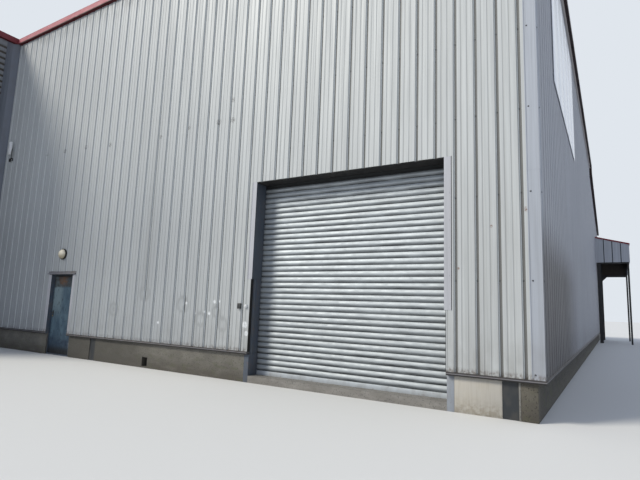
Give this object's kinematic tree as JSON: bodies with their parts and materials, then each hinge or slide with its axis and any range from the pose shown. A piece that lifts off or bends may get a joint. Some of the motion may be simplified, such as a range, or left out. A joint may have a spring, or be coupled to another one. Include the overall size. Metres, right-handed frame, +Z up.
{
  "type": "factory building",
  "caption": "Steel clad factory hall with a grooved front, a roller shutter, a hinged door, a side wing, a falling rear roof and a small side canopy.",
  "frame": {"origin": "on the ground, under the middle of the hall behind the main front wall", "axes": "+X to the right along the front wall, seen from in front, +Y from the front wall into the hall, +Z up"},
  "size_m": [23.13, 39.16, 10.19],
  "materials": {
    "concrete_floor": "trowelled concrete, dusty",
    "concrete_plinth": "weathered concrete with damp stains and green growth",
    "cream_panel": "cream coated sheet, scuffed and dusty",
    "dark_steel": "dark grey primer, rubbed",
    "rail_steel": "galvanised, matt",
    "front_sheet": "light grey coil coating, dusty, with dents and scratches",
    "side_sheet": "grey coil coating, dusty",
    "wing_sheet": "dark grey coil coating",
    "roof_sheet": "grey roof sheet, weathered",
    "red_trim": "faded red coil coating",
    "grey_flashing": "blue grey coil coating",
    "shutter_zinc": "galvanised, dull with bright wear",
    "shutter_steel": "grey paint, greasy",
    "door_paint": "faded teal blue paint, rusty at the top",
    "frame_paint": "dark grey paint",
    "black_plastic": "moulded, dusty",
    "lamp_opal": "opal cover, yellowed",
    "white_housing": "white powder coating",
    "sign_white": "white coated sheet with faint vertical streaks"
  },
  "bodies": {
    "building": {"floor_slab": "concrete_floor", "wing_floor": "concrete_floor", "front_plinth": "concrete_plinth", "corner_plinth": "cream_panel", "side_plinths": "concrete_plinth", "rear_plinth": "concrete_plinth", "wing_plinth": "concrete_plinth", "front_posts": "dark_steel", "hall_columns": "dark_steel", "rafters": "dark_steel", "front_rails": "rail_steel", "side_rails": "rail_steel", "front_wall_left": "front_sheet", "front_wall_middle": "front_sheet", "front_wall_right": "front_sheet", "front_wall_over_openings": "front_sheet", "right_wall": "side_sheet", "rear_wall": "side_sheet", "left_wall": "side_sheet", "wing_inner_wall": "wing_sheet", "wing_front_wall": "wing_sheet", "main_roof": "roof_sheet", "wing_roof": "roof_sheet", "rear_roof": "roof_sheet", "roof_step": "roof_sheet", "front_trim": "red_trim", "side_trims": "red_trim", "rear_trims": "red_trim", "wing_trim": "red_trim", "corner_flashings": "grey_flashing", "drip_flashing": "grey_flashing", "shutter_curtain": "shutter_zinc", "shutter_bottom_bar": "shutter_zinc", "shutter_guides": "shutter_steel", "shutter_housing": "shutter_steel", "jamb_posts": "grey_flashing", "jamb_flashing": "grey_flashing", "door_frame": "frame_paint", "door_hood": "grey_flashing", "hinge_pins": "rail_steel", "lamp_base": "black_plastic", "lamp_glass": "lamp_opal", "floodlight": "white_housing", "sign_board": "sign_white", "canopy_roof": "roof_sheet", "canopy_cladding": "side_sheet", "canopy_trim": "red_trim", "canopy_posts": "dark_steel", "canopy_beams": "dark_steel"},
    "door": {"door_leaf": "door_paint", "door_handle": "black_plastic", "leaf_knuckles": "rail_steel"}
  },
  "joints": [
    {"name": "door_hinge", "type": "hinge", "parent": "building", "child": "door", "pos_m": [-1.011, -16.909, 1.094], "axis": [0, 0, 1], "range_deg": [0, 90]}
  ]
}
